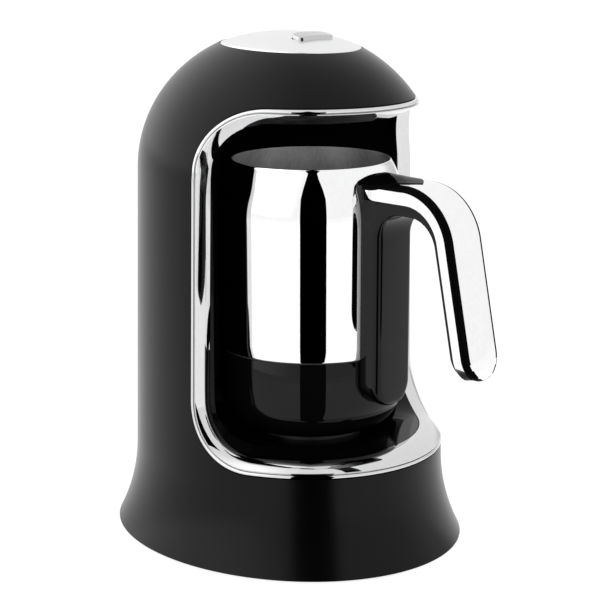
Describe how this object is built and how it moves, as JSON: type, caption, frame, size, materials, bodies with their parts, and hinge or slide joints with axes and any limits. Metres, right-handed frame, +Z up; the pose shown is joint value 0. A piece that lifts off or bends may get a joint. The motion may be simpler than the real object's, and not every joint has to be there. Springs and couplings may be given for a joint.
{
  "type": "electric turkish coffee maker",
  "caption": "Domed countertop coffee maker with an open niche, a push button in its top cap, and a lift-out heated pot with a hooked handle that stands and turns on a round connector.",
  "frame": {"origin": "on the table, under the middle of the housing's foot; the base plate's underside lies 1.2 mm above it", "axes": "+Z up, the open niche faces -Y, and +X is on the right of someone who stands in front of the machine"},
  "size_m": [0.168, 0.2299, 0.2572],
  "materials": {
    "satin_black": "satin",
    "frame_chrome": "mirror",
    "gloss_black": "high gloss",
    "cap_silver": "fine satin",
    "pot_steel": "mirror outside, satin inside",
    "grip_chrome": "mirror",
    "plain_steel": "plain",
    "brass": "plain",
    "heater_aluminium": "cast",
    "inner_plastic": "moulded",
    "socket_plastic": "semi-gloss",
    "white_ceramic": "plain",
    "board_green": "satin",
    "part_black": "plain",
    "rubber_black": "plain",
    "seal_silicone": "plain",
    "wire_sleeve": "woven",
    "window_smoke": "gloss"
  },
  "bodies": {
    "housing": {"outer_shell": "satin_black", "opening_trim": "frame_chrome", "niche_liner": "gloss_black", "top_cap": "cap_silver", "tact_switch": "part_black", "button_spring": "plain_steel", "button_board": "board_green", "button_board_screws": "plain_steel", "buzzer": "part_black", "sensor_window": "window_smoke", "overflow_sensor": "part_black", "base_plate": "inner_plastic", "rubber_feet": "rubber_black", "base_screws": "plain_steel", "cord_gland": "inner_plastic", "terminal_block": "white_ceramic", "power_board": "board_green", "power_board_screws": "plain_steel", "power_relay": "part_black", "mains_capacitor": "heater_aluminium", "mains_loom": "wire_sleeve", "control_loom": "wire_sleeve", "socket_loom": "wire_sleeve", "socket_body": "socket_plastic", "socket_nut": "inner_plastic"},
    "button": {"button_cap": "cap_silver", "switch_plunger": "part_black"},
    "connector": {"socket_tower": "socket_plastic", "socket_contacts": "brass", "socket_clip": "plain_steel"},
    "pot": {"pot_body": "pot_steel", "base_seal": "seal_silicone", "pot_base": "gloss_black", "pot_base_screws": "plain_steel", "heater_plate": "heater_aluminium", "heating_element": "plain_steel", "thermostat": "white_ceramic", "thermal_fuse": "plain_steel", "plug_body": "inner_plastic", "plug_pin": "brass", "plug_ring": "brass", "handle_inlay": "gloss_black", "handle_grip": "grip_chrome", "handle_bracket": "plain_steel", "handle_spine": "gloss_black", "handle_screw": "plain_steel"}
  },
  "joints": [
    {"name": "button_press", "type": "slide", "parent": "housing", "child": "button", "axis": [0, 0, -1], "range_m": [0, 0.0012], "stiffness_N_per_m": 600, "springref_m": -0.001, "deforming": ["button_spring"]},
    {"name": "pot_turn", "type": "hinge", "parent": "housing", "child": "connector", "pos_m": [0, -0.0189, 0.05], "axis": [0, 0, 1], "range_deg": [-75, 64]},
    {"name": "pot_lift", "type": "slide", "parent": "connector", "child": "pot", "axis": [0, 0, 1], "range_m": [0, 0.02]}
  ]
}
